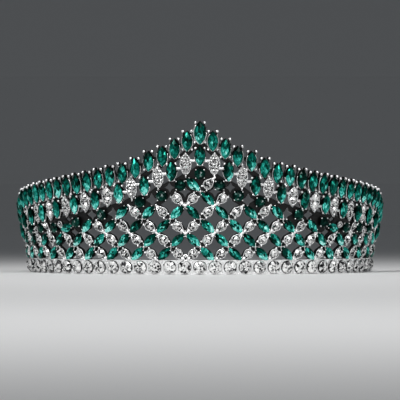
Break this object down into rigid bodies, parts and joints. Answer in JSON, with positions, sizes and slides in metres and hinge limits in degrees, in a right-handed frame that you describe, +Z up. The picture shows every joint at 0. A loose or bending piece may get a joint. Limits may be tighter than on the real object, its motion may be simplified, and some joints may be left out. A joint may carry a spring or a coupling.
{
  "type": "crystal tiara",
  "caption": "Open-backed tiara worn on the head: a curved band with a leaning openwork wall of green and clear stones that rises to the front, and a pin loop at each end",
  "frame": {"origin": "Centre of the circle of the band's front lower edge, in the plane the tiara stands on", "axes": "+Z up out of the crown, -Y out of the front, +X to the viewer's right (the wearer's left)"},
  "size_m": [0.1534, 0.1266, 0.0619],
  "materials": {
    "silver_metal": "polished",
    "green_glass": "polished",
    "dark_green_glass": "polished",
    "clear_glass": "polished"
  },
  "bodies": {
    "root": {"frame": "silver_metal", "band_stones": "clear_glass", "upper_stones": "green_glass", "round_green_stones": "dark_green_glass", "lattice_green_left": "green_glass", "lattice_green_right": "green_glass", "lattice_clear_left": "clear_glass", "lattice_clear_right": "clear_glass", "crest_stone_left_21": "green_glass", "crest_stone_left_20": "green_glass", "crest_stone_left_19": "green_glass", "crest_stone_left_18": "green_glass", "crest_stone_left_17": "green_glass", "crest_stone_left_16": "green_glass", "crest_stone_left_15": "green_glass", "crest_stone_left_14": "green_glass", "crest_stone_left_13": "green_glass", "crest_stone_left_12": "green_glass", "crest_stone_left_11": "green_glass", "crest_stone_left_10": "green_glass", "crest_stone_left_9": "green_glass", "crest_stone_left_8": "green_glass", "crest_stone_left_7": "green_glass", "crest_stone_left_6": "green_glass", "crest_stone_left_5": "green_glass", "crest_stone_left_4": "green_glass", "crest_stone_left_3": "green_glass", "crest_stone_left_2": "green_glass", "crest_stone_left_1": "green_glass", "crest_stone_front": "green_glass", "crest_stone_right_1": "green_glass", "crest_stone_right_2": "green_glass", "crest_stone_right_3": "green_glass", "crest_stone_right_4": "green_glass", "crest_stone_right_5": "green_glass", "crest_stone_right_6": "green_glass", "crest_stone_right_7": "green_glass", "crest_stone_right_8": "green_glass", "crest_stone_right_9": "green_glass", "crest_stone_right_10": "green_glass", "crest_stone_right_11": "green_glass", "crest_stone_right_12": "green_glass", "crest_stone_right_13": "green_glass", "crest_stone_right_14": "green_glass", "crest_stone_right_15": "green_glass", "crest_stone_right_16": "green_glass", "crest_stone_right_17": "green_glass", "crest_stone_right_18": "green_glass", "crest_stone_right_19": "green_glass", "crest_stone_right_20": "green_glass", "crest_stone_right_21": "green_glass", "crest_stone_end_left": "green_glass", "crest_stone_end_right": "green_glass"}
  },
  "joints": []
}
